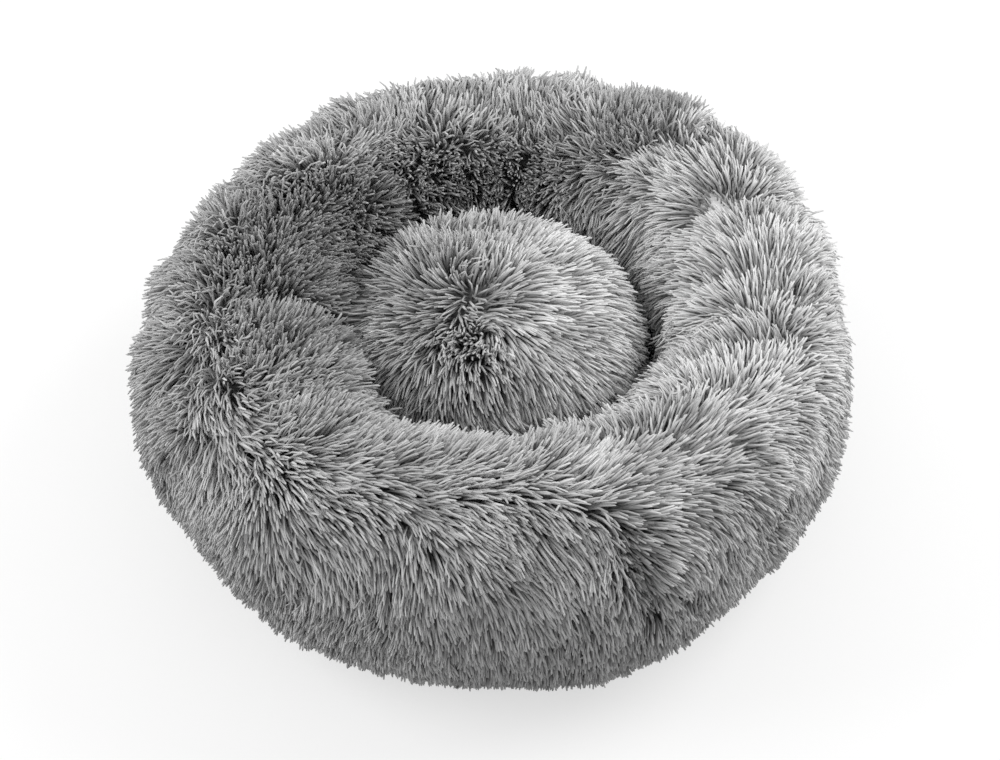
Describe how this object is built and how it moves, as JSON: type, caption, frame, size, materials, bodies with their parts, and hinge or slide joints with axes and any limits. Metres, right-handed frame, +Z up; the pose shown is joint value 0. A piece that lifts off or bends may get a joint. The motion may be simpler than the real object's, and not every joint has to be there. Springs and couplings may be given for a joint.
{
  "type": "pet cushion bed",
  "caption": "Round shaggy-plush pet bed: a stuffed, gathered bolster ring around a domed lift-out cushion, on a grip-dotted cloth base with a zip.",
  "frame": {"origin": "on the floor under the centre of the bed", "axes": "+Z up along the axis of the ring, -Y towards the front, +X to the right seen from the front"},
  "size_m": [0.5, 0.4998, 0.196],
  "materials": {
    "grey_plush": "long shaggy pile, lighter at the tips",
    "cushion_plush": "long shaggy pile, lighter at the tips",
    "lining_cloth": "thin non-woven cloth",
    "fibre_filling": "loose hollow fibre",
    "base_cloth": "plain-woven coated polyester",
    "floor_cloth": "plain-woven polyester",
    "gusset_cloth": "plain-woven coated polyester",
    "cushion_cloth": "plain-woven polyester",
    "seam_tape": "ribbed binding tape",
    "edge_tape": "ribbed binding tape",
    "label_satin": "satin, blank",
    "zip_tape": "twill zip tape",
    "zip_coil": "nylon coil",
    "zip_stop": "satin",
    "zip_metal": "satin gunmetal paint",
    "grip_rubber": "matt"
  },
  "bodies": {
    "root": {"bolster_cover": "grey_plush", "bolster_lining": "lining_cloth", "bolster_filling": "fibre_filling", "base_panel": "base_cloth", "grip_dots": "grip_rubber", "well_floor": "floor_cloth", "inner_seam_tape": "seam_tape", "gusset_strip": "gusset_cloth", "care_label": "label_satin", "zip_tape_lower": "zip_tape", "zip_tape_upper": "zip_tape", "zip_coil_lower": "zip_coil", "zip_coil_upper": "zip_coil", "zip_stops": "zip_stop"},
    "cushion": {"cushion_top_cover": "cushion_plush", "cushion_bottom_cover": "cushion_cloth", "cushion_filling": "fibre_filling", "cushion_edge_tape": "edge_tape"},
    "slider": {"zip_slider": "zip_metal"},
    "pull": {"zip_pull": "zip_metal"}
  },
  "joints": [
    {"name": "cushion_lift", "type": "slide", "parent": "root", "child": "cushion", "axis": [0, 0, 1], "range_m": [0, 0.24]},
    {"name": "zip_slide", "type": "hinge", "parent": "root", "child": "slider", "pos_m": [0, 0, 0.0088], "axis": [0, 0, 1], "range_deg": [0, 142]},
    {"name": "pull_swing", "type": "hinge", "parent": "slider", "child": "pull", "pos_m": [0.19705, 0.06785, 0.0088], "axis": [0, 0, -1], "range_deg": [0, 170]}
  ]
}
